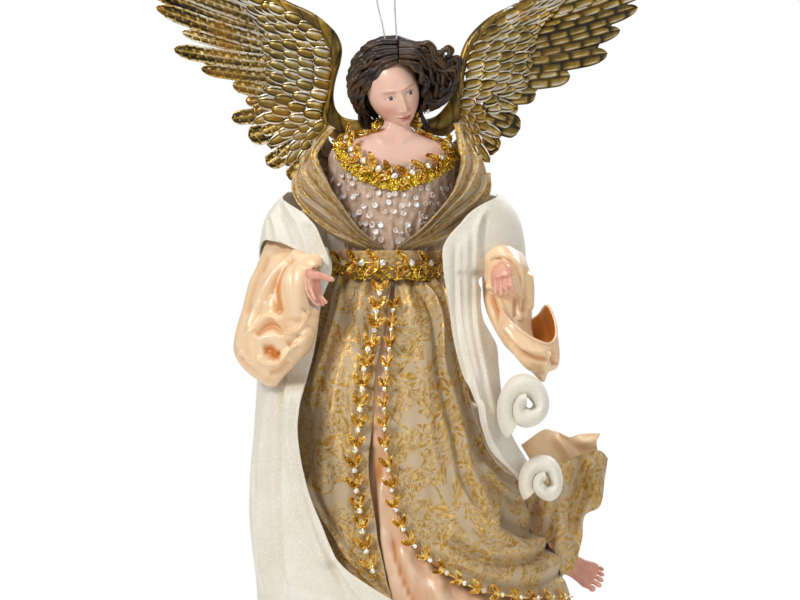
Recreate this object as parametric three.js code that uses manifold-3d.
// Hanging angel ornament: a cast bust and wings on a stuffed body with padded wire limbs, dressed in
// brocade, satin and a cream stole. Millimetres, +Z up, the front faces -Y, the origin is the top of
// the hanging loop. Left and right are as seen from the front.
import * as THREE from 'three';
import Module from 'manifold-3d';
import { mergeVertices } from 'three/addons/utils/BufferGeometryUtils.js';

const wasm = await Module();
wasm.setup();

// Driving dimensions. Heights are measured from the waist.
const skirtLength = 230; // waist to hem
const hemHalfWidth = 90;
const hemHalfDepth = 60;
const neckHeight = 80; // waist to chin
const shoulderHalfWidth = 36;
const chestHalfDepth = 20;
const headHalfHeight = 23.5;
const headHalfWidth = 15.5;
const headHalfDepth = 19;
const wingSpread = 180; // body axis to wing tip
const wingRise = 122; // wing root to the highest feather
const loopHeight = 180; // waist to the top of the hanging loop
const handLength = 24;
const footLength = 27;

// Thicknesses and clearances
const gap = 0.3;
const cloth = 1.4;
const layerGap = 1.2; // room between two layers of cloth
const castWall = 3;
const trimThickness = 1.2;
const limbRadius = 2.6; // padded wire
const legRadius = 4.2;

const rise = new THREE.Vector3(0, 0, 1);
const degree = Math.PI / 180;

// Helpers for values that vary along a piece. A table has rows [place, value, value ...].
function alongTable(table, place, column = 1) {
  const last = table.length - 1;
  if (place <= table[0][0]) return table[0][column];
  if (place >= table[last][0]) return table[last][column];
  let row = 0;
  while (table[row + 1][0] < place) row += 1;
  const slope = (a, b) => (table[b][column] - table[a][column]) / (table[b][0] - table[a][0]);
  const span = table[row + 1][0] - table[row][0];
  const share = (place - table[row][0]) / span;
  const here = slope(row, row + 1);
  const before = row > 0 ? (slope(row - 1, row) + here) / 2 : here;
  const after = row + 1 < last ? (slope(row + 1, row + 2) + here) / 2 : here;
  const square = share * share;
  const cube = square * share;
  return (2 * cube - 3 * square + 1) * table[row][column]
    + (cube - 2 * square + share) * span * before
    + (3 * square - 2 * cube) * table[row + 1][column]
    + (cube - square) * span * after;
}

const blend = (a, b, share) => a + (b - a) * share;
const bump = (share) => Math.sin(Math.PI * Math.min(Math.max(share, 0), 1));

// Helpers that close a surface into a solid
function closed(points, faces) {
  const geometry = new THREE.BufferGeometry().setFromPoints(points);
  let volume = 0;
  faces.forEach(([a, b, c]) => {
    volume += points[a].dot(new THREE.Vector3().crossVectors(points[b], points[c]));
  });
  geometry.setIndex(faces.flatMap(([a, b, c]) => (volume < 0 ? [a, c, b] : [a, b, c])));
  return geometry;
}

// A sheet of cloth or casting: face(u, v, side) gives its outer face at side 1 and inner face at 0.
function sheet(face, across, down, ring = false) {
  const columns = ring ? across : across + 1;
  const points = [];
  for (let side = 0; side < 2; side += 1) {
    for (let j = 0; j <= down; j += 1) {
      for (let i = 0; i < columns; i += 1) points.push(face(i / across, j / down, side));
    }
  }
  const at = (side, i, j) => side * columns * (down + 1) + j * columns + (i % columns);
  const faces = [];
  const quad = (a, b, c, d) => faces.push([a, b, c], [a, c, d]);
  for (let j = 0; j < down; j += 1) {
    for (let i = 0; i < across; i += 1) {
      quad(at(1, i, j), at(1, i + 1, j), at(1, i + 1, j + 1), at(1, i, j + 1));
      quad(at(0, i, j + 1), at(0, i + 1, j + 1), at(0, i + 1, j), at(0, i, j));
    }
  }
  for (let i = 0; i < across; i += 1) {
    quad(at(0, i, 0), at(0, i + 1, 0), at(1, i + 1, 0), at(1, i, 0));
    quad(at(1, i, down), at(1, i + 1, down), at(0, i + 1, down), at(0, i, down));
  }
  for (let j = 0; j < down && !ring; j += 1) {
    quad(at(1, 0, j), at(1, 0, j + 1), at(0, 0, j + 1), at(0, 0, j));
    quad(at(0, across, j), at(0, across, j + 1), at(1, across, j + 1), at(1, across, j));
  }
  return closed(points, faces);
}

// A solid through rings of points, closed by a fan at each end.
function loft(rings) {
  const sides = rings[0].length;
  const points = rings.flat();
  const ends = [rings[0], rings[rings.length - 1]].map((ring) => {
    const middle = new THREE.Vector3();
    ring.forEach((point) => middle.add(point));
    return points.push(middle.divideScalar(sides)) - 1;
  });
  const faces = [];
  for (let i = 0; i < sides; i += 1) {
    const next = (i + 1) % sides;
    for (let j = 0; j < rings.length - 1; j += 1) {
      const here = j * sides;
      faces.push([here + i, here + next, here + sides + next]);
      faces.push([here + i, here + sides + next, here + sides + i]);
    }
    const top = (rings.length - 1) * sides;
    faces.push([ends[0], next, i], [ends[1], top + i, top + next]);
  }
  return closed(points, faces);
}

// A tapered round limb along a curve: radius(share) may give one radius or two.
function limb(curve, radius, sides, steps) {
  const frames = curve.computeFrenetFrames(steps, false);
  const rings = [];
  for (let j = 0; j <= steps; j += 1) {
    const centre = curve.getPoint(j / steps);
    const [wide, deep] = [radius(j / steps)].flat().concat(radius(j / steps));
    rings.push(Array.from({ length: sides }, (_, i) => {
      const turn = (2 * Math.PI * i) / sides;
      return centre.clone()
        .addScaledVector(frames.normals[j], wide * Math.cos(turn))
        .addScaledVector(frames.binormals[j], deep * Math.sin(turn));
    }));
  }
  return loft(rings);
}

function solidOf(geometry) {
  const bare = geometry.clone();
  bare.deleteAttribute('normal');
  bare.deleteAttribute('uv');
  const merged = mergeVertices(bare);
  return new wasm.Manifold(new wasm.Mesh({
    numProp: 3,
    vertProperties: Float32Array.from(merged.attributes.position.array),
    triVerts: Uint32Array.from(merged.index.array),
  }));
}

function geometryOf(solid) {
  const mesh = solid.getMesh();
  const geometry = new THREE.BufferGeometry();
  geometry.setAttribute('position', new THREE.BufferAttribute(mesh.vertProperties, mesh.numProp));
  geometry.setIndex(new THREE.BufferAttribute(mesh.triVerts, 1));
  return geometry;
}

const joined = (first, ...others) => geometryOf(
  others.reduce((sum, one) => sum.add(solidOf(one)), solidOf(first)));
const cut = (first, ...others) => geometryOf(
  others.reduce((sum, one) => sum.subtract(solidOf(one)), solidOf(first)));
const curveThrough = (points) => (
  new THREE.CatmullRomCurve3(points.map((point) => new THREE.Vector3(...point))));

const finishes = {
  skin: new THREE.MeshStandardMaterial({ color: 0xe8b8a0, roughness: 0.35, metalness: 0 }),
  hair: new THREE.MeshStandardMaterial({ color: 0x3b2c2c, roughness: 0.4, metalness: 0 }),
  gold: new THREE.MeshStandardMaterial({ color: 0xb58a2c, roughness: 0.4, metalness: 0.7 }),
  trim: new THREE.MeshStandardMaterial({ color: 0xd09a12, roughness: 0.3, metalness: 0.7 }),
  brocade: new THREE.MeshStandardMaterial({ color: 0xb8a184, roughness: 0.6, metalness: 0.1 }),
  sequin: new THREE.MeshStandardMaterial({ color: 0xb99a86, roughness: 0.4, metalness: 0.2 }),
  satin: new THREE.MeshStandardMaterial({ color: 0xf0cda0, roughness: 0.4, metalness: 0 }),
  cream: new THREE.MeshStandardMaterial({ color: 0xece5d6, roughness: 0.7, metalness: 0 }),
  padding: new THREE.MeshStandardMaterial({ color: 0xe6ddcf, roughness: 0.9, metalness: 0 }),
  steel: new THREE.MeshStandardMaterial({ color: 0x9a9a98, roughness: 0.4, metalness: 0.9 }),
  line: new THREE.MeshStandardMaterial({ color: 0xc8ccd0, roughness: 0.2, metalness: 0 }),
};

const figure = new THREE.Group();
function place(name, geometry, finish) {
  const mesh = new THREE.Mesh(geometry, finish);
  mesh.name = name;
  figure.add(mesh);
}

// Body: one loft carries the stuffed torso, the cast bust and the layers of the bodice.
// Rows: height as a share of neckHeight, then width, depth and sideways shift as shares.
const bodyShares = [
  [-0.3, 0.5, 0.6, -0.055], [-0.1, 0.61, 0.72, -0.055], [0, 0.63, 0.75, -0.055], [0.25, 0.74, 0.88, -0.04],
  [0.5, 0.92, 1, -0.015], [0.75, 1, 0.92, 0], [0.86, 0.96, 0.8, 0], [0.93, 0.78, 0.66, 0.01],
  [0.975, 0.5, 0.54, 0.04], [1.02, 0.29, 0.49, 0.065], [1.2, 0.25, 0.46, 0.1],
];
function bodySurface(turn, height) {
  const share = height / neckHeight;
  const wide = alongTable(bodyShares, share) * shoulderHalfWidth;
  const deep = alongTable(bodyShares, share, 2) * chestHalfDepth;
  const shift = alongTable(bodyShares, share, 3) * shoulderHalfWidth;
  return new THREE.Vector3(shift + wide * Math.sin(turn), -deep * Math.cos(turn), height);
}
const slopeStep = 1; // half the height over which the body's slope is taken
function bodyPoint(turn, height, out) {
  const around = bodySurface(turn + degree, height).sub(bodySurface(turn - degree, height));
  const up = bodySurface(turn, height + slopeStep).sub(bodySurface(turn, height - slopeStep));
  return bodySurface(turn, height).addScaledVector(around.cross(up).normalize(), out);
}

const bustBase = 0.58 * neckHeight;
const torsoBase = -0.28 * neckHeight;
const neckTop = 1.2 * neckHeight;
const bodySides = 24;
function bodyRing(height) {
  return Array.from({ length: bodySides }, (_, i) => bodySurface((2 * Math.PI * i) / bodySides, height));
}
const torsoSteps = 4;
place('torso', loft(Array.from({ length: torsoSteps + 1 }, (_, j) => (
  bodyRing(blend(torsoBase, bustBase - gap, j / torsoSteps))))), finishes.padding);
// The whole body with room around it, for what is fitted over it.
const coreSteps = 22;
function bodyCore(out) {
  return loft(Array.from({ length: coreSteps + 1 }, (_, j) => {
    const height = blend(torsoBase, neckTop, j / coreSteps);
    return Array.from({ length: bodySides }, (_, i) => (
      bodyPoint((2 * Math.PI * i) / bodySides, height, out).setZ(height)));
  }));
}

// Head: a rounded form around the axis from nose to nape, with its own tilt.
const headPlace = new THREE.Vector3(0.014 * shoulderHalfWidth, -0.2 * chestHalfDepth, 1.309 * neckHeight);
const headTurn = new THREE.Matrix4().makeRotationZ(12 * degree)
  .multiply(new THREE.Matrix4().makeRotationY(-17 * degree))
  .multiply(new THREE.Matrix4().makeRotationX(14 * degree))
  .setPosition(headPlace);
const headAround = 22;
const headDown = 16;
// Rows of the face: sideways place, height, width, height spread and how far it stands out, all as
// shares of the head's half width, half height and half depth.
const faceShares = [
  [0, -0.2, 0.13, 0.16, 0.13], [0, -0.33, 0.17, 0.07, 0.07], [0, 0.17, 0.5, 0.12, 0.03],
  [-0.42, 0.02, 0.24, 0.11, -0.07], [0.42, 0.02, 0.24, 0.11, -0.07], [0, -0.56, 0.26, 0.07, 0.05],
  [0, -0.84, 0.3, 0.14, 0.07], [-0.5, -0.28, 0.3, 0.2, 0.03], [0.5, -0.28, 0.3, 0.2, 0.03],
];
const jawNarrowing = 0.3;
function headPoint(around, down, out) {
  const angle = down * Math.PI;
  const wide = Math.sin(angle) * Math.sin(around * 2 * Math.PI);
  const high = Math.sin(angle) * Math.cos(around * 2 * Math.PI);
  const jaw = 1 - jawNarrowing * Math.max(-high, 0) ** 1.5;
  const front = Math.max(Math.cos(angle), 0) ** 0.5;
  let forward = Math.cos(angle) * headHalfDepth;
  faceShares.forEach(([x, z, spreadX, spreadZ, lift]) => {
    const away = ((wide * jaw - x) / spreadX) ** 2 + ((high - z) / spreadZ) ** 2;
    forward += lift * headHalfDepth * Math.exp(-away) * front;
  });
  const point = new THREE.Vector3(wide * jaw * headHalfWidth, -forward, high * headHalfHeight);
  const away = new THREE.Vector3(wide, -Math.cos(angle), high).normalize();
  return point.addScaledVector(away, out);
}
function headSolid(out) {
  const rings = [];
  const poleShare = 0.012;
  for (let j = 0; j <= headDown; j += 1) {
    const down = blend(poleShare, 1 - poleShare, j / headDown);
    rings.push(Array.from({ length: headAround }, (_, i) => (
      headPoint(i / headAround, down, out).applyMatrix4(headTurn))));
  }
  return loft(rings);
}
const bustSteps = 8;
function bustBody(out) {
  const rings = [];
  for (let j = 0; j <= bustSteps; j += 1) {
    const height = blend(bustBase, neckTop, (j / bustSteps) ** 0.8);
    rings.push(Array.from({ length: bodySides }, (_, i) => (
      bodyPoint((2 * Math.PI * i) / bodySides, height, out).setZ(height))));
  }
  return loft(rings);
}
place('bust', joined(bustBody(0), headSolid(0)), finishes.skin);

// Hair: a cap over the head from the hairline to the nape, with combed waves and blown locks.
const hairThickness = 10;
// Rows: share of the turn round the face from the crown, edge of the cap from the face axis, and
// thickness as a share of hairThickness.
const hairShares = [
  [0, 0.37, 1], [0.12, 0.41, 1.1], [0.25, 0.48, 1.15], [0.36, 0.56, 1.15], [0.44, 0.66, 0.85],
  [0.5, 0.7, 0.6], [0.56, 0.66, 0.85], [0.64, 0.56, 1.25], [0.75, 0.48, 1.3], [0.88, 0.41, 1.1], [1, 0.37, 1],
];
const hairWaves = 9;
const hairWaveShare = 0.14;
const hairEdgeShare = 0.35;
const hairLift = 0.9; // between the scalp and the cap
function hairPoint(u, v, side) {
  const down = blend(alongTable(hairShares, u), 0.985, v);
  const full = alongTable(hairShares, u, 2) * hairThickness;
  const body = hairEdgeShare + (1 - hairEdgeShare) * bump(Math.min(v * 1.6 + 0.12, 0.5));
  const wave = 1 + hairWaveShare * Math.sin(2 * Math.PI * (hairWaves * u + v * 1.5));
  const out = hairLift + side * full * body * wave;
  return headPoint(u, down, out).applyMatrix4(headTurn);
}
function hairCap() {
  const around = 30;
  const down = 7;
  const points = [];
  for (let side = 0; side < 2; side += 1) {
    for (let j = 0; j <= down; j += 1) {
      for (let i = 0; i < around; i += 1) points.push(hairPoint(i / around, j / down, side));
    }
  }
  const back = [0, 1].map((side) => {
    const middle = new THREE.Vector3();
    for (let i = 0; i < around; i += 1) middle.add(points[(side * (down + 1) + down) * around + i]);
    return points.push(middle.divideScalar(around)) - 1;
  });
  const faces = [];
  const at = (side, i, j) => (side * (down + 1) + j) * around + (i % around);
  for (let i = 0; i < around; i += 1) {
    for (let j = 0; j < down; j += 1) {
      faces.push([at(1, i, j), at(1, i + 1, j), at(1, i + 1, j + 1)]);
      faces.push([at(1, i, j), at(1, i + 1, j + 1), at(1, i, j + 1)]);
      faces.push([at(0, i, j), at(0, i + 1, j + 1), at(0, i + 1, j)]);
      faces.push([at(0, i, j), at(0, i, j + 1), at(0, i + 1, j + 1)]);
    }
    faces.push([at(0, i, 0), at(0, i + 1, 0), at(1, i + 1, 0)], [at(0, i, 0), at(1, i + 1, 0), at(1, i, 0)]);
    faces.push([at(1, i, down), at(1, i + 1, down), back[1]], [at(0, i + 1, down), at(0, i, down), back[0]]);
  }
  return closed(points, faces);
}
const lockRadius = 4.6;
// Blown locks at the right: places as shares of the head's half sizes, from the head's middle.
const lockShares = [
  [[0.7, -0.5, 0.95], [1.35, -0.35, 0.8], [1.95, -0.15, 0.5], [2.2, 0, 0.05], [1.95, 0.05, -0.35],
    [1.45, 0, -0.6]],
  [[1.1, -0.2, 0.85], [1.6, 0, 0.95], [2.1, 0.05, 0.95], [2.45, 0, 0.72], [2.4, -0.05, 0.5],
    [2.12, -0.1, 0.5]],
  [[1, 0.1, 0.3], [1.5, 0.2, 0.1], [1.8, 0.2, -0.2], [1.5, 0.15, -0.5]],
];
function lock(shares) {
  const curve = curveThrough(shares.map(([x, y, z]) => [
    headPlace.x + x * headHalfWidth, headPlace.y + y * headHalfDepth, headPlace.z + z * headHalfHeight]));
  return limb(curve, (share) => lockRadius * (0.45 + 0.6 * bump(share * 0.8 + 0.15)), 6, 7);
}

// Hanging loop: one line, both ends set in the top of the head.
const loopRadius = 0.45;
const loopDepth = -5;
const loopRoute = [
  [-3.9, -7, 129], [-4.5, -6, 137], [-6.4, -5, 147], [-8.6, -5, 156], [-9.6, -5, 166], [-8.6, -5, 174.5],
  [-4, -5, 180], [0.4, -5, 174.5], [1.6, -5, 166], [1.7, -5, 156], [2.1, -5, 147], [2.7, -6, 137],
  [2.8, -7, 129],
];
const loopApex = new THREE.Vector3(loopRoute[(loopRoute.length - 1) / 2][0], loopDepth, loopHeight);
function loopTube(radius) {
  const sides = 8;
  const steps = 30;
  const section = new THREE.Shape();
  section.absarc(0, 0, radius, 0, 2 * Math.PI, false);
  return new THREE.ExtrudeGeometry(section, {
    steps, curveSegments: sides / 2, extrudePath: curveThrough(loopRoute), bevelEnabled: false,
  });
}
place('hanging_loop', loopTube(loopRadius), finishes.line);
place('hair', cut(joined(hairCap(), ...lockShares.map(lock)), headSolid(gap), bustBody(gap),
  loopTube(loopRadius + gap)), finishes.hair);

// Bodice and neckline trims, layer over layer on the body's loft.
// Rows: share of the depth from the front to the back, then heights as shares of neckHeight.
const bodiceTopShares = [[0, 0.75], [0.27, 0.86], [0.5, 0.9], [1, 0.92]];
const trimTopShares = [[0, 0.78], [0.21, 0.89], [0.5, 0.975], [1, 0.975]];
const trimMiddleShares = [[0, 0.67], [0.21, 0.81], [0.5, 0.94], [1, 0.945]];
const trimBottomShares = [[0, 0.55], [0.21, 0.71], [0.5, 0.895], [1, 0.905]];
const fromFront = (turn) => (1 - Math.cos(turn)) / 2;
const bandSpacing = 1.5; // rows lie closer where the shoulders turn
function bodyBand(top, bottom, inner, thick, across, down, ripple = 0) {
  return sheet((u, v, side) => {
    const turn = 2 * Math.PI * u;
    const height = blend(top(turn), bottom(turn), v ** bandSpacing) * neckHeight;
    const wave = ripple * Math.sin(v * down * Math.PI * 0.5);
    return bodyPoint(turn, height, inner + side * thick + wave);
  }, across, down, true);
}
const bodiceLift = 0.7;
const bodiceBottomShare = -0.03;
const bodiceBand = bodyBand((turn) => alongTable(bodiceTopShares, fromFront(turn)), () => bodiceBottomShare,
  bodiceLift, cloth, bodySides, 6);
place('bodice', cut(bodiceBand, bodyCore(gap)), finishes.sequin);
const trimRoom = 0.8; // between the bodice and the trims on it
const trimLift = bodiceLift + cloth + trimRoom;
const bandGapShare = 0.006;
place('neck_trim', bodyBand((turn) => alongTable(trimTopShares, fromFront(turn)),
  (turn) => alongTable(trimMiddleShares, fromFront(turn)) + bandGapShare,
  trimLift, trimThickness, 28, 1), finishes.trim);
place('neck_beads', bodyBand((turn) => alongTable(trimMiddleShares, fromFront(turn)) - bandGapShare,
  (turn) => alongTable(trimBottomShares, fromFront(turn)),
  trimLift, trimThickness, 28, 2), finishes.trim);

// Collar: two pleated brocade lapels over the shoulders, from the belt in front to the centre back.
// Rows: height share of neckHeight, then half width and half depth as shares of the collar's widest.
const collarHalfWidth = 56;
const collarHalfDepth = 30;
const collarBackShare = 1.16; // deeper behind, over the wing bracket
const collarShapeShares = [
  [0, 0.462, 0.61], [0.06, 0.463, 0.613], [0.12, 0.475, 0.625], [0.2, 0.66, 0.8], [0.35, 0.86, 0.95],
  [0.55, 1, 1], [0.65, 0.975, 0.97], [0.78, 0.885, 0.93], [0.92, 0.73, 0.9], [1.02, 0.62, 0.9],
  [1.1, 0.55, 0.88],
];
// Each side: turn from the front in degrees, then the height as a share of neckHeight.
const collarSides = [
  { name: 'collar_left', way: -1,
    topShares: [[3, 0.09], [24, 0.3], [35, 0.52], [50, 0.71], [72, 0.86], [80, 0.99], [95, 1], [125, 0.9],
      [150, 0.85], [179, 0.82]],
    bottomShares: [[3, 0.02], [24, 0.045], [51, 0.16], [70, 0.37], [85, 0.56], [95, 0.58], [135, 0.55],
      [179, 0.5]] },
  { name: 'collar_right', way: 1,
    topShares: [[9, 0.12], [28, 0.34], [44, 0.64], [57, 0.83], [72, 0.95], [82, 1.05], [95, 1.02],
      [125, 0.91], [150, 0.85], [179, 0.82]],
    bottomShares: [[9, 0.025], [28, 0.05], [53, 0.14], [68, 0.3], [82, 0.53], [95, 0.56], [135, 0.55],
      [179, 0.5]] },
];
const collarPleats = 3;
const pleatDepth = 1.6;
const pleatStartShare = 0.14; // height where the pleats open above the belt
const collarSeam = 0.4; // half the room at the centre back seam
collarSides.forEach(({ name, way, topShares, bottomShares }) => {
  const first = topShares[0][0];
  const last = topShares[topShares.length - 1][0];
  place(name, sheet((u, v, side) => {
    const turn = blend(first, last, u);
    const height = blend(alongTable(topShares, turn), alongTable(bottomShares, turn), v);
    const wide = alongTable(collarShapeShares, height) * collarHalfWidth;
    const full = turn > 90 ? blend(1, collarBackShare, bump((turn - 90) / 180)) : 1;
    const deep = alongTable(collarShapeShares, height, 2) * collarHalfDepth * full;
    const shift = alongTable(bodyShares, height, 3) * shoulderHalfWidth;
    const loose = Math.min(Math.max((height - pleatStartShare) / pleatStartShare, 0), 1);
    const pleat = pleatDepth * loose * (1 - Math.abs(2 * ((v * collarPleats) % 1) - 1));
    const out = side * cloth + pleat;
    const angle = turn * degree;
    const seam = u === 1 ? collarSeam : 0;
    const aside = (wide + out) * Math.sin(angle) + seam;
    return new THREE.Vector3(shift + way * aside, -(deep + out) * Math.cos(angle), height * neckHeight);
  }, 14, 6), finishes.brocade);
});

// Belt: a ribbon over the gathers at the waist, and the leaf trim sewn on it.
const beltHalfHeight = 8.6;
const beltHalfWidth = 28.5;
const beltHalfDepth = 21.3;
const beltFlare = 1.4; // wider below, over the gathers
const waistShift = bodyShares[2][3] * shoulderHalfWidth;
function beltBand(inner, thick, across, halfHeight, scallop) {
  return sheet((u, v, side) => {
    const turn = 2 * Math.PI * u;
    const out = inner + side * thick + v * beltFlare;
    const edge = halfHeight * (1 - scallop * (Math.round(u * across) % 2));
    return new THREE.Vector3(waistShift + (beltHalfWidth + out) * Math.sin(turn),
      -(beltHalfDepth + out) * Math.cos(turn), blend(edge, -edge, v));
  }, across, 1, true);
}
const beltSides = 24;
const leafScallopShare = 0.25;
place('belt_band', beltBand(0, trimThickness, beltSides, beltHalfHeight, 0), finishes.brocade);
place('belt_trim', beltBand(trimThickness + gap, trimThickness, beltSides, beltHalfHeight, leafScallopShare),
  finishes.trim);

// Skirts: every layer lies at its own distance from one flared, folded form.
// Rows: share of the drop, then half width, sideways shift and half depth as shares of the hem's.
const skirtShares = [
  [0, 0.253, -0.022, 0.265], [0.04, 0.26, -0.022, 0.27], [0.07, 0.333, -0.016, 0.36],
  [0.13, 0.433, 0, 0.483], [0.3, 0.545, -0.011, 0.67], [0.47, 0.633, 0.033, 0.79], [0.61, 0.728, 0.094, 0.87],
  [0.75, 0.85, 0.183, 0.94], [0.87, 0.956, 0.222, 0.98], [1, 1, 0.244, 1],
];
const skirtFolds = 9;
const skirtFoldDepth = 3;
const foldTwist = 1.2;
function skirtPoint(turn, drop, out) {
  const angle = turn * degree;
  const wave = Math.sin(skirtFolds * angle + foldTwist * drop * Math.PI);
  const fold = skirtFoldDepth * Math.min(drop * 1.6, 1) * wave;
  const wide = alongTable(skirtShares, drop) * hemHalfWidth + out + fold;
  const deep = alongTable(skirtShares, drop, 3) * hemHalfDepth + out + fold;
  const shift = alongTable(skirtShares, drop, 2) * hemHalfWidth;
  return new THREE.Vector3(shift + wide * Math.sin(angle), -deep * Math.cos(angle), -drop * skirtLength);
}
// The underskirt's hem is lifted at the right, where the foot steps out.
const underHemShares = [
  [-180, 0.97], [-60, 1], [0, 1], [40, 0.95], [66, 0.84], [84, 0.6], [118, 0.6], [135, 0.84], [160, 0.95],
  [180, 0.97]];
const underTopShare = 0.04;
const underSpacing = 1.4;
function underskirt(inner, outer) {
  return sheet((u, v, side) => {
    const turn = blend(-180, 180, u);
    const drop = blend(underTopShare, alongTable(underHemShares, turn), v ** underSpacing);
    return skirtPoint(turn, drop, side ? outer : inner);
  }, 36, 6, true);
}
place('underskirt', underskirt(0, cloth), finishes.satin);
const underRoom = () => underskirt(-cloth, cloth + gap);

const gatherSpacing = 1.5; // rows lie closer at the waist
const overLift = cloth + layerGap;
const overTopShare = 0.006;
const overFolds = 5;
const overFoldDepth = 2.4;
const overFold = (turn, drop) => (
  overFoldDepth * Math.min(drop * 2, 1) * Math.sin(overFolds * turn * degree) ** 2);
// The front edges: turn from the front in degrees against the share of the drop.
const leftEdgeShares = [
  [0, -6], [0.07, -9], [0.22, -16], [0.33, -19], [0.48, -24], [0.61, -24], [0.72, -23], [0.8, -19], [1, -14]];
const rightEdgeShares = [[0, 5], [0.05, 5], [0.22, -1], [0.33, -4], [0.45, -5.5], [0.56, -6], [0.67, -4.5]];
// The hems: turn from the front in degrees against the share of the drop.
const leftHemShares = [[-140, 0.94], [-60, 0.97], [0, 0.97]];
const sideSeam = 140;
const seamGap = 1;
const overLeft = (room) => sheet((u, v, side) => {
  const drop = blend(overTopShare, alongTable(leftHemShares, -sideSeam * (1 - u)), v ** gatherSpacing);
  const turn = blend(-sideSeam + seamGap, alongTable(leftEdgeShares, drop), u);
  return skirtPoint(turn, drop, overLift + side * (cloth + room) + overFold(turn, drop));
}, 14, 8);
place('overskirt_left', cut(overLeft(0), underRoom()), finishes.brocade);
// The right panel is cut away: its front edge sweeps round into the hem.
const rightHemShares = [
  [-4.5, 0.67], [2, 0.74], [8, 0.775], [14, 0.8], [22, 0.825], [30, 0.843], [40, 0.853], [52, 0.86],
  [66, 0.835], [84, 0.62], [118, 0.62], [140, 0.84]];
function rightPanelPlace(u, even) {
  const v = even ** gatherSpacing;
  const first = rightEdgeShares[rightEdgeShares.length - 1][1];
  const hemTurn = blend(first, sideSeam, u ** 1.25);
  const drop = blend(overTopShare, alongTable(rightHemShares, hemTurn), v);
  const topTurn = blend(rightEdgeShares[0][1], sideSeam, u);
  const edge = alongTable(rightEdgeShares, drop);
  const turn = blend(topTurn, hemTurn, v) + (edge - blend(rightEdgeShares[0][1], first, v)) * (1 - u) ** 3;
  return { turn, drop };
}
const overRight = (room) => sheet((u, v, side) => {
  const { turn, drop } = rightPanelPlace(u, v);
  return skirtPoint(turn - seamGap * u, drop, overLift + side * (cloth + room) + overFold(turn, drop));
}, 18, 9);
place('overskirt_right', cut(overRight(0), underRoom()), finishes.brocade);
const backHemShares = [[140, 0.85], [165, 0.92], [220, 0.95]];
const overBack = sheet((u, v, side) => {
  const turn = blend(sideSeam, 360 - sideSeam, u);
  const drop = blend(overTopShare, alongTable(backHemShares, turn), v ** gatherSpacing);
  return skirtPoint(turn, drop, overLift + side * cloth + overFold(turn, drop));
}, 10, 7);
place('overskirt_back', cut(overBack, underRoom()), finishes.brocade);

// Leaf trims on the front edges: ribbons with a scalloped outline, one scallop to a pair of leaves.
const trimHalfWidth = 7.5;
const leafPairs = 14;
const trimScallopShare = 0.3;
const edgeTrimRoom = 0.5;
const overOutside = overLift + cloth + overFoldDepth + edgeTrimRoom;
function edgeTrim(middle, pairs, halfWidth) {
  const steps = pairs * 2;
  return sheet((u, v, side) => {
    const edge = halfWidth * (1 - trimScallopShare * (Math.round(v * steps) % 2));
    return middle(v, (2 * u - 1) * edge, overOutside + side * trimThickness);
  }, 1, steps);
}
const trimInsetShare = 0.2;
const leftTrimShares = [0.06, 0.87];
const leftTrim = edgeTrim((v, aside, out) => {
  const drop = blend(...leftTrimShares, v);
  const radius = alongTable(skirtShares, drop) * hemHalfWidth;
  const inset = trimInsetShare * trimHalfWidth;
  return skirtPoint(alongTable(leftEdgeShares, drop) + (aside - inset) / radius / degree, drop, out);
}, leafPairs, trimHalfWidth);
place('front_trim_left', cut(leftTrim, overLeft(gap)), finishes.trim);
// The right trim follows the front edge and then the hem.
const hemTrimTurn = 74;
const rightInsetShare = 0.65;
const rightTrimShare = 0.1;
const edgePartShare = 0.5; // the part of the trim that follows the front edge
function rightTrimPlace(share) {
  if (share < edgePartShare) {
    const drop = blend(rightTrimShare, rightHemShares[0][1], share / edgePartShare);
    return new THREE.Vector2(alongTable(rightEdgeShares, drop), drop);
  }
  const alongHem = (share - edgePartShare) / (1 - edgePartShare);
  const turn = blend(rightHemShares[0][0], hemTrimTurn, alongHem ** 0.9);
  return new THREE.Vector2(turn, alongTable(rightHemShares, turn));
}
const rightTrim = edgeTrim((v, aside, out) => {
  const here = rightTrimPlace(v);
  const step = 0.02;
  const way = rightTrimPlace(Math.min(v + step, 1)).sub(rightTrimPlace(Math.max(v - step, 0)));
  const radius = alongTable(skirtShares, here.y) * hemHalfWidth;
  const along = new THREE.Vector2(way.x * degree * radius, way.y * skirtLength).normalize();
  const inset = aside + rightInsetShare * trimHalfWidth;
  const turn = here.x + (along.y * inset) / radius / degree;
  return skirtPoint(turn, here.y - (along.x * inset) / skirtLength, out);
}, leafPairs * 2, trimHalfWidth * 0.8);
place('front_trim_right', cut(rightTrim, overRight(gap)), finishes.trim);

// The blown tail at the right: brocade that leaves the skirt, flares out and falls back to the hem.
// Rows: place down the tail, drop of its inner edge as a share of skirtLength, then the outer edge's
// distance from the axis as a share of hemHalfWidth and its drop as a share of skirtLength.
const tailShares = [
  [0, 0.47, 1.43, 0.487], [0.3, 0.54, 1.43, 0.565], [0.5, 0.6, 1.38, 0.635], [0.62, 0.64, 1.29, 0.655],
  [0.8, 0.68, 1.27, 0.7], [1, 0.73, 1.24, 0.77],
];
const tailTurn = 96;
const tailRoom = 0.5;
const tailWave = 3.5;
const tailWaves = 1.5;
const tailSetBack = 6; // of the outer edge behind the axis
place('overskirt_tail', sheet((u, v, side) => {
  const drop = alongTable(tailShares, v, 1);
  const inner = skirtPoint(tailTurn, drop, overLift + cloth + overFold(tailTurn, drop) + tailRoom);
  const wave = tailWave * Math.sin(2 * Math.PI * tailWaves * v);
  const outer = new THREE.Vector3(alongTable(tailShares, v, 2) * hemHalfWidth, tailSetBack + wave,
    -alongTable(tailShares, v, 3) * skirtLength);
  const billow = tailWave * bump(u) * Math.cos(Math.PI * v);
  return inner.lerp(outer, u).add(new THREE.Vector3(0, billow + side * cloth, 0));
}, 6, 10), finishes.brocade);

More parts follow.
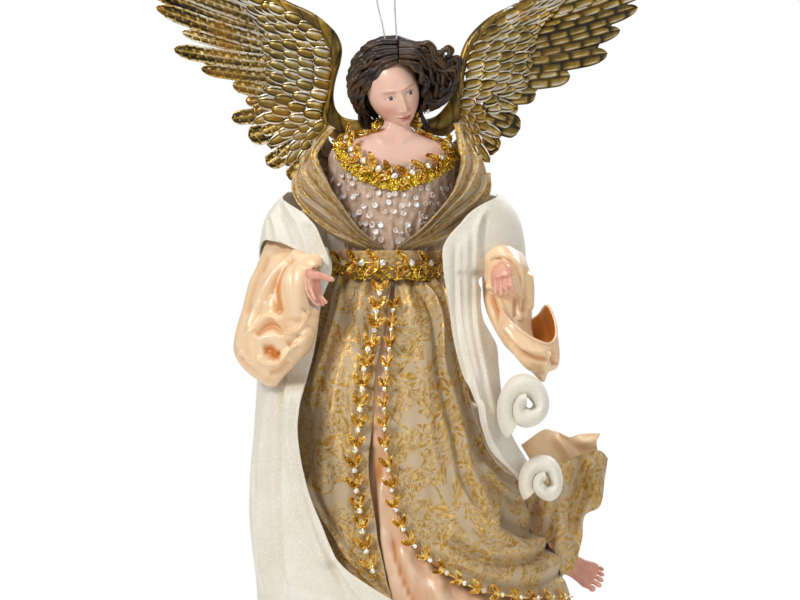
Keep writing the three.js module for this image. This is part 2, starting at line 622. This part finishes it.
// Arms: padded wire from the shoulder to the wrist, inside the sleeves.
// Each route runs from shoulder to wrist in shares of neckHeight; way and palm are directions.
const wristRadius = 3.2;
const armSides = [
  { side: 'left',
    routeShares: [[-0.4625, -0.0125, 0.5], [-0.7125, -0.05, 0.3375], [-0.875, -0.15, -0.1],
      [-0.825, -0.325, -0.15], [-0.5875, -0.625, -0.05]],
    hand: { way: [0.1, -0.4, -0.91], palm: [0.85, -0.45, 0.3], thumb: 1 } },
  { side: 'right',
    routeShares: [[0.44, -0.0125, 0.5], [0.725, -0.05, 0.3375], [0.925, -0.15, -0.075],
      [0.9125, -0.3375, -0.1125], [0.8125, -0.575, -0.0125]],
    hand: { way: [0.02, -0.78, -0.62], palm: [0.2, 0.65, -0.73], thumb: -1 } },
];
const routeThrough = (shares, size) => (
  curveThrough(shares.map((point) => point.map((share) => share * size))));
armSides.forEach((arm) => {
  const curve = routeThrough(arm.routeShares, neckHeight);
  const reach = 1 - (wristRadius + gap) / curve.getLength();
  const steps = 8;
  const stretch = new THREE.CatmullRomCurve3(
    Array.from({ length: steps + 1 }, (_, i) => curve.getPointAt((i / steps) * reach)));
  place(`arm_${arm.side}`, limb(stretch, () => limbRadius, 8, steps), finishes.padding);
});

// Hands: a palm, four fingers and a thumb from a round wrist that turns at the end of the arm.
// Rows: sideways place and length of each finger as shares of the palm's width and the hand's length.
const palmWidth = 11;
const palmThickness = 5.4;
const fingerRadius = 1.35;
const fingerShares = [[-0.36, 0.88], [-0.12, 0.98], [0.12, 1], [0.36, 0.9]];
const palmShares = [
  [-0.07, 0.2], [0.06, 0.34], [0.18, 0.42], [0.34, 0.5], [0.5, 0.48], [0.56, 0.36]];
const palmShare = 0.5;
const curlShare = 0.12;
armSides.forEach((arm) => {
  const wrist = routeThrough(arm.routeShares, neckHeight).getPoint(1);
  const forward = new THREE.Vector3(...arm.hand.way).normalize();
  const aside = new THREE.Vector3().crossVectors(forward, new THREE.Vector3(...arm.hand.palm)).normalize();
  const palmOut = new THREE.Vector3().crossVectors(aside, forward).normalize();
  const at = (along, across, out) => wrist.clone().addScaledVector(forward, along)
    .addScaledVector(aside, across * arm.hand.thumb).addScaledVector(palmOut, out);
  const palm = loft(palmShares.map(([along, half]) => Array.from({ length: 8 }, (_, i) => {
    const turn = (2 * Math.PI * i) / 8;
    return at(along * handLength, half * palmWidth * Math.cos(turn),
      Math.min(half * 1.3, 0.5) * palmThickness * Math.sin(turn));
  })));
  const fingers = fingerShares.map(([across, reach]) => limb(new THREE.CatmullRomCurve3([
    at(palmShare * handLength * 0.8, across * palmWidth * 0.95, 0),
    at(blend(palmShare, reach, 0.5) * handLength, across * palmWidth * 1.1, curlShare * palmThickness),
    at(reach * handLength, across * palmWidth * 1.25, curlShare * handLength),
  ]), (share) => fingerRadius * (1 - 0.25 * share), 5, 2));
  const thumb = limb(new THREE.CatmullRomCurve3([
    at(0.2 * handLength, 0.3 * palmWidth, 0), at(0.32 * handLength, 0.62 * palmWidth, 0.6 * palmThickness),
    at(0.44 * handLength, 0.7 * palmWidth, 1.7 * palmThickness),
  ]), (share) => fingerRadius * (1.15 - 0.25 * share), 5, 2);
  const ball = new THREE.SphereGeometry(wristRadius, 8, 6).translate(wrist.x, wrist.y, wrist.z);
  place(`hand_${arm.side}`, joined(palm, ball, ...fingers, thumb), finishes.skin);
});

// Sleeves: satin bells along the arms. Rows: share of the arm, then half width, reach above the arm's
// line, reach below it and sideways shift as shares of sleeveHalfWidth.
const sleeveHalfWidth = 20;
const sleeveSides = [
  { side: 'left', sleeveShares: [
    [0.2, 0.235, 0.235, 0.235, 0], [0.4, 0.43, 0.41, 0.43, 0], [0.58, 0.6, 0.45, 1.1, 0.12],
    [0.72, 0.78, 0.5, 2.2, 0.35], [0.86, 1, 0.55, 3.1, 0.66], [0.96, 1.12, 0.55, 3.35, 0.82]] },
  { side: 'right', sleeveShares: [
    [0.2, 0.235, 0.235, 0.235, 0], [0.4, 0.43, 0.41, 0.43, 0], [0.58, 0.55, 0.45, 0.9, -0.1],
    [0.72, 0.7, 0.5, 1.7, -0.3], [0.86, 0.9, 0.55, 2.6, -0.5], [0.96, 1, 0.6, 2.9, -0.55]] },
];
const sleeveThickness = 1.2;
const sleeveFolds = 5;
const sleeveFoldShare = 0.06;
sleeveSides.forEach(({ side, sleeveShares }, index) => {
  const curve = routeThrough(armSides[index].routeShares, neckHeight);
  const first = sleeveShares[0][0];
  const last = sleeveShares[sleeveShares.length - 1][0];
  const size = (share, column) => alongTable(sleeveShares, share, column) * sleeveHalfWidth;
  place(`sleeve_${side}`, sheet((u, v, face) => {
    const share = blend(first, last, v);
    const centre = curve.getPointAt(share);
    const along = curve.getTangentAt(share);
    const down = rise.clone().negate().addScaledVector(along, along.z).normalize();
    const lateral = new THREE.Vector3().crossVectors(down, along);
    const turn = 2 * Math.PI * u;
    const thin = (1 - face) * sleeveThickness;
    const fold = 1 + sleeveFoldShare * v * Math.sin(sleeveFolds * turn + 2 * v);
    const half = size(share, 1) * fold - thin;
    const reach = size(share, Math.sin(turn) > 0 ? 2 : 3) * fold - thin;
    return centre.addScaledVector(lateral, half * Math.cos(turn) + size(share, 4))
      .addScaledVector(down, -reach * Math.sin(turn));
  }, 14, 7, true), finishes.satin);
});

// Stole: cream cloth over both arms and round the back.
// Rows: drop below the waist as a share of skirtLength, half width, front and back half depth as shares.
const stoleHalfWidth = 86;
const stoleHalfDepth = 68;
const stoleShares = [
  [-0.2, 0.7, 0.5, 0.58], [-0.165, 0.8, 0.53, 0.57], [-0.13, 0.87, 0.56, 0.56], [-0.05, 0.92, 0.6, 0.57],
  [0.02, 0.92, 0.62, 0.6], [0.1, 0.92, 0.62, 0.66], [0.33, 0.93, 0.86, 0.8], [0.65, 0.985, 1.02, 0.95],
  [0.85, 0.94, 1.06, 1.02], [1.01, 0.93, 1.08, 1.05],
];
const stoleFoldDepth = 4;
const stoleFolds = 5;
function stolePoint(turn, drop, out) {
  const angle = turn * degree;
  const column = Math.cos(angle) > 0 ? 2 : 3;
  const soft = Math.min(Math.max(0.3 + drop, 0), 1);
  const fold = stoleFoldDepth * soft * Math.sin(stoleFolds * angle) ** 2;
  const wide = alongTable(stoleShares, drop) * stoleHalfWidth + out + fold;
  const deep = alongTable(stoleShares, drop, column) * stoleHalfDepth + out + fold;
  return new THREE.Vector3(wide * Math.sin(angle), -deep * Math.cos(angle), -drop * skirtLength);
}
// A solid that opens a window for the sleeve between two turns and two lines of drops.
const windowReach = 34;
const stoleWindow = (turns, top, bottom) => sheet((u, v, side) => {
  const drop = blend(alongTable(top, u), bottom, v);
  return stolePoint(blend(...turns, u), drop, blend(-windowReach, windowReach, side));
}, 12, 6);
// Edges: drop share, then turn from the front in degrees. Windows and swag: place, then drop share.
const leftStoleShares = [
  [-0.19, -64], [-0.13, -54], [-0.06, -42], [-0.03, -36], [0, -30], [0.1, -34], [0.335, -46], [0.42, -42],
  [0.6, -31], [0.72, -25], [0.82, -9], [0.86, -3], [1, 3]];
const leftWindowTurns = [-101, -15];
const leftWindowShares = [[0, -0.04], [0.4, -0.06], [0.6, -0.04], [0.7, -0.017], [1, 0]];
const leftWindowShare = 0.33;
const stoleBackTurn = -150;
const leftDropShares = [-0.19, 0.99];
const stoleLeft = sheet((u, v, side) => {
  const drop = blend(...leftDropShares, v);
  const turn = blend(stoleBackTurn, alongTable(leftStoleShares, drop), u);
  return stolePoint(turn, drop, side * cloth);
}, 15, 17);
place('shawl_left', cut(stoleLeft, stoleWindow(leftWindowTurns, leftWindowShares, leftWindowShare)),
  finishes.cream);
// Right: a strip in front of the skirt, joined to the drape over the upper arm.
const rightFrontShares = [
  [-0.19, 60], [-0.1, 32], [-0.05, 25], [0.02, 25], [0.1, 28], [0.25, 34], [0.36, 38], [0.47, 47],
  [0.56, 60]];
const rightOuterShares = [
  [-0.19, 150], [-0.1, 150], [-0.045, 150], [0.1, 120], [0.25, 62], [0.3, 56], [0.42, 56], [0.5, 64],
  [0.56, 76]];
const rightWindowTurns = [42, 160];
const rightWindowShares = [[0, 0.07], [0.06, 0.02], [0.12, -0.03], [0.3, -0.045], [1, -0.05]];
const rightWindowShare = 0.27;
const rightDropShares = [-0.19, 0.56];
const stoleRight = sheet((u, v, side) => {
  const drop = blend(...rightDropShares, v);
  const turn = blend(alongTable(rightFrontShares, drop), alongTable(rightOuterShares, drop), u);
  return stolePoint(turn, drop, side * cloth);
}, 10, 18);
place('shawl_right', cut(stoleRight, stoleWindow(rightWindowTurns, rightWindowShares, rightWindowShare)),
  finishes.cream);
// Back: a swag between the two ends.
const swagTopShares = [[-150, -0.18], [-120, -0.1], [0, -0.06], [120, -0.1], [150, -0.18]];
const swagBottomShares = [[-150, -0.07], [0, 0.24], [150, 0.1]];
const swagGap = 1.1;
place('shawl_back', sheet((u, v, side) => {
  const turn = blend(stoleBackTurn - swagGap, -360 - stoleBackTurn + swagGap, u);
  const around = turn + 180;
  const drop = blend(alongTable(swagTopShares, around * 5), alongTable(swagBottomShares, around * 5), v);
  return stolePoint(turn, drop, side * cloth);
}, 8, 6), finishes.cream);

// Curled ends of the stole at the right: the stiffened cloth rolls up in a spiral, seen end on.
// Each middle is given in shares of stoleHalfWidth, stoleHalfDepth and skirtLength; start is in degrees.
const curlSides = [
  { name: 'shawl_curl_upper', middleShares: [0.923, -0.846, -0.36], outerShare: 0.186, start: 130 },
  { name: 'shawl_curl_lower', middleShares: [1.056, -0.72, -0.555], outerShare: 0.157, start: 150 },
];
const curlDepth = 14;
const curlTurns = 1.3;
const curlCore = 0.32;
const curlTallness = 1.32;
const curlOpening = 0.12; // wider towards the back
curlSides.forEach(({ name, middleShares, outerShare, start }) => {
  const x = middleShares[0] * stoleHalfWidth;
  const y = middleShares[1] * stoleHalfDepth;
  const z = middleShares[2] * skirtLength;
  const outer = outerShare * stoleHalfWidth;
  place(name, sheet((u, v, side) => {
    const angle = (start + 360 * curlTurns * u) * degree;
    const radius = (blend(outer, outer * curlCore, u) - side * cloth) * (1 + curlOpening * v);
    return new THREE.Vector3(x + radius * Math.cos(angle), y + curlDepth * (2 * v - 1),
      z + radius * Math.sin(angle) * curlTallness);
  }, 24, 2), finishes.cream);
});

// Legs and feet: the right leg steps out under the lifted hem, the left one hangs.
// Each route runs from below the hip to the ankle in shares of skirtLength, the hip's place is in
// shares of shoulderHalfWidth, and toe is the way the foot points.
const legSides = [
  { side: 'left', hipShares: [-0.28, 0], toe: [-0.15, -0.93, -0.35],
    routeShares: [[-0.048, -0.017, -0.304], [-0.057, 0.013, -0.565], [-0.061, 0.009, -0.809]] },
  { side: 'right', hipShares: [0.22, 0.055], toe: [0.9, -0.25, -0.36],
    routeShares: [[0.087, 0.009, -0.37], [0.191, 0.035, -0.6], [0.374, 0.074, -0.704],
      [0.454, 0.078, -0.757]] },
];
const ankleRadius = 4.4;
// Rows of the foot: share of its length, half width and half height, and drop below the ankle.
const footShares = [
  [-0.2, 0.5, 0.5, 0.75], [-0.12, 0.85, 0.85, 0.7], [0.06, 1, 1.05, 0.5], [0.22, 0.95, 0.9, 0.62],
  [0.42, 1, 0.68, 0.9], [0.62, 1.15, 0.52, 1.08], [0.74, 1.1, 0.4, 1.15],
];
const toeShares = [
  [-0.95, 0.72, 0.9], [-0.45, 0.66, 1], [0, 0.62, 0.98], [0.42, 0.58, 0.93], [0.8, 0.52, 0.86]];
const footHalfWidth = 9;
const footHalfHeight = 5;
legSides.forEach(({ side, hipShares, toe, routeShares }) => {
  const [hipX, hipY] = hipShares.map((share) => share * shoulderHalfWidth);
  const hip = new THREE.Vector3(hipX, hipY, torsoBase - gap);
  const below = hip.clone().addScaledVector(rise, -2 * legRadius);
  const curve = new THREE.CatmullRomCurve3([hip, below, ...routeThrough(routeShares, skirtLength).points]);
  place(`leg_${side}`, limb(curve, (share) => legRadius * (1 - 0.25 * share), 8, 9), finishes.padding);
  const ankle = curve.getPoint(1);
  const down = curve.getTangent(1);
  const forward = new THREE.Vector3(...toe).normalize();
  const aside = new THREE.Vector3().crossVectors(forward, down).normalize();
  const sole = new THREE.Vector3().crossVectors(aside, forward).normalize();
  const seat = ankle.clone().addScaledVector(down, gap);
  const at = (along, across, under) => seat.clone().addScaledVector(forward, along * footLength)
    .addScaledVector(aside, across).addScaledVector(sole, under);
  const foot = loft(footShares.map(([along, wide, high, under]) => Array.from({ length: 8 }, (_, i) => {
    const turn = (2 * Math.PI * i) / 8;
    return at(along, wide * footHalfWidth * Math.cos(turn),
      (under + 1.1) * footHalfHeight + high * footHalfHeight * Math.sin(turn));
  })));
  const shin = limb(new THREE.CatmullRomCurve3([
    seat, ankle.clone().addScaledVector(down, footHalfHeight * 1.6)]),
  () => ankleRadius * 0.78, 8, 1);
  const toes = toeShares.map(([across, thick, reach]) => limb(new THREE.CatmullRomCurve3([
    at(0.66, across * footHalfWidth, 2.18 * footHalfHeight),
    at(reach, across * footHalfWidth * 1.05, 2.3 * footHalfHeight)]),
  (share) => thick * 0.3 * footHalfHeight * (1.1 - 0.35 * share), 5, 1));
  place(`foot_${side}`, joined(foot, shin, ...toes), finishes.skin);
});

// Wings: cast plates of overlapping feathers that fan out from a rounded leading edge.
// Rows: share from the lowest to the outermost feather, then the feather's root and tip as shares of
// wingSpread sideways and of wingRise above the root.
const wingRoot = new THREE.Vector3(0.1925 * wingSpread, 1.315 * chestHalfDepth, 1.1 * neckHeight);
const wingSides = [
  { side: 'left', way: -1, featherShares: [
    [0, 0.19, -0.07, 0.325, -0.3], [0.09, 0.2, -0.02, 0.42, -0.22], [0.18, 0.197, 0.05, 0.49, -0.1],
    [0.27, 0.19, 0.13, 0.545, 0.02], [0.38, 0.18, 0.24, 0.55, 0.2], [0.48, 0.17, 0.37, 0.65, 0.27],
    [0.58, 0.17, 0.5, 0.745, 0.37], [0.67, 0.21, 0.61, 0.775, 0.53], [0.76, 0.3, 0.7, 0.82, 0.7],
    [0.85, 0.42, 0.78, 0.875, 0.83], [0.93, 0.56, 0.86, 0.94, 0.94], [1, 0.7, 0.92, 1, 1]] },
  { side: 'right', way: 1, featherShares: [
    [0, 0.19, -0.06, 0.29, -0.26], [0.09, 0.21, 0, 0.33, -0.2], [0.18, 0.21, 0.06, 0.39, -0.12],
    [0.27, 0.21, 0.13, 0.44, 0], [0.38, 0.21, 0.23, 0.5, 0.14], [0.48, 0.22, 0.36, 0.62, 0.24],
    [0.58, 0.25, 0.48, 0.735, 0.36], [0.67, 0.31, 0.58, 0.79, 0.51], [0.76, 0.4, 0.67, 0.84, 0.68],
    [0.85, 0.51, 0.76, 0.89, 0.81], [0.93, 0.63, 0.84, 0.945, 0.92], [1, 0.76, 0.91, 1, 1]] },
];
const feathers = 11;
const featherSteps = 3; // columns to a feather
const wingRows = 8;
const featherCrown = 1.5;
const featherStep = 0.9;
const tipRounding = 0.13;
const wingSweep = 22; // how far the tips lie behind the root
const featherBow = 0.05;
const edgeRoll = 2.2; // the leading edge's extra thickness
const rowStartShares = [0, 0.2, 0.42]; // where the short, middle and long feathers begin
function wingPoint(wing, u, v, side) {
  const index = u * feathers;
  const inFeather = index - Math.floor(Math.min(index, feathers - 0.001));
  const reach = v * (1 - tipRounding * Math.abs(2 * inFeather - 1) ** 2 * (v > 0.5 ? 1 : 0));
  const [rootX, rootZ, tipX, tipZ] = [1, 2, 3, 4].map((column) => alongTable(wing.featherShares, u, column));
  const x = blend(rootX, tipX, reach) * wingSpread;
  const z = blend(rootZ, tipZ, reach) * wingRise + featherBow * (tipX - rootX) * wingSpread * bump(reach);
  const row = rowStartShares.filter((start) => start <= reach).length - 1;
  const rowEnd = rowStartShares[row + 1] ?? 1;
  const inRow = (reach - rowStartShares[row]) / (rowEnd - rowStartShares[row]);
  const lift = featherStep * ((rowStartShares.length - 1 - row) * 0.6 + inRow);
  const relief = featherCrown * bump(inFeather) + lift;
  const roll = edgeRoll * Math.max(1 - reach * 8, 0);
  const y = wingRoot.y + wingSweep * (0.5 * reach + 0.5 * u * u);
  const face = side === 1 ? -(castWall * 0.5 + relief + roll) : castWall * 0.4 + relief * 0.3 + roll * 0.6;
  return new THREE.Vector3(wing.way * x, y + face, wingRoot.z + z);
}
const lugHeight = 18;
const lugWidth = 9;
const lugThickness = 2.4;
const lugBottom = 0.62 * neckHeight;
const lugInset = 3; // body axis to the lug
const lugAhead = 2.3; // of the wing's root
const lugFront = wingRoot.y - lugAhead;
const screwRadius = 1.2;
const screwHeadRadius = 2.3;
const screwHeadHeight = 1.2;
const screwPitch = 10;
const bracketThickness = 1.6;
const screwHeights = [lugBottom + (lugHeight - screwPitch) / 2, lugBottom + (lugHeight + screwPitch) / 2];
const screwAside = lugInset + lugWidth / 2;
function screwHole(way, height, depth, front) {
  const hole = new THREE.CylinderGeometry(screwRadius + gap, screwRadius + gap, depth * 3, 8);
  hole.translate(way * screwAside, front, height);
  return hole;
}
wingSides.forEach((wing) => {
  const columns = feathers * featherSteps;
  const plate = sheet((u, v, side) => wingPoint(wing, u, v, side), columns, wingRows);
  const lug = new THREE.BoxGeometry(lugWidth, lugThickness, lugHeight);
  lug.translate(wing.way * screwAside, lugFront + lugThickness / 2, lugBottom + lugHeight / 2);
  const strapStart = new THREE.Vector3(wing.way * (screwAside + lugWidth * 0.1), lugFront + lugThickness / 2,
    lugBottom + lugHeight * 0.8);
  const strapEnd = new THREE.Vector3(wing.way * wingRoot.x, wingRoot.y + lugThickness / 6,
    wingRoot.z - 0.01 * wingRise);
  const strapMiddle = strapStart.clone().lerp(strapEnd, 0.5);
  const strap = limb(new THREE.CatmullRomCurve3([strapStart, strapMiddle, strapEnd]),
    () => [lugThickness * 0.62, lugWidth * 0.4], 8, 3);
  const holes = screwHeights.map((height) => screwHole(wing.way, height, lugThickness, lugFront));
  const headRooms = screwHeights.map((height) => (
    new THREE.CylinderGeometry(screwHeadRadius + gap, screwHeadRadius + gap, 2 * lugThickness, 10)
      .translate(wing.way * screwAside, lugFront + 2 * lugThickness, height)));
  place(`wing_${wing.side}`, cut(joined(plate, lug, strap), ...holes, ...headRooms), finishes.gold);
});
const bracketWidth = 2 * (lugInset + lugWidth);
const bracket = new THREE.BoxGeometry(bracketWidth, bracketThickness, lugHeight);
bracket.translate(0, lugFront - gap - bracketThickness / 2, lugBottom + lugHeight / 2);
const bracketHoles = [-1, 1].flatMap((way) => (
  screwHeights.map((height) => screwHole(way, height, bracketThickness, lugFront - bracketThickness))));
place('wing_bracket', cut(bracket, ...bracketHoles), finishes.steel);
const screwSpots = [['upper', 1], ['lower', 0]];
screwSpots.forEach(([level, row]) => {
  [['left', -1], ['right', 1]].forEach(([side, way]) => {
    const shank = lugThickness + gap + bracketThickness;
    const profile = [[0, 0], [screwRadius, 0], [screwRadius, shank + gap], [screwHeadRadius, shank + gap],
      [screwHeadRadius * 0.8, shank + gap + screwHeadHeight], [0, shank + gap + screwHeadHeight]];
    const screw = new THREE.LatheGeometry(profile.map(([x, y]) => new THREE.Vector2(x, y)), 8);
    screw.translate(way * screwAside, lugFront - gap - bracketThickness, screwHeights[row]);
    place(`wing_screw_${level}_${side}`, screw, finishes.steel);
  });
});

figure.position.copy(loopApex).negate();
const ornament = new THREE.Group();
ornament.add(figure);

export default ornament;
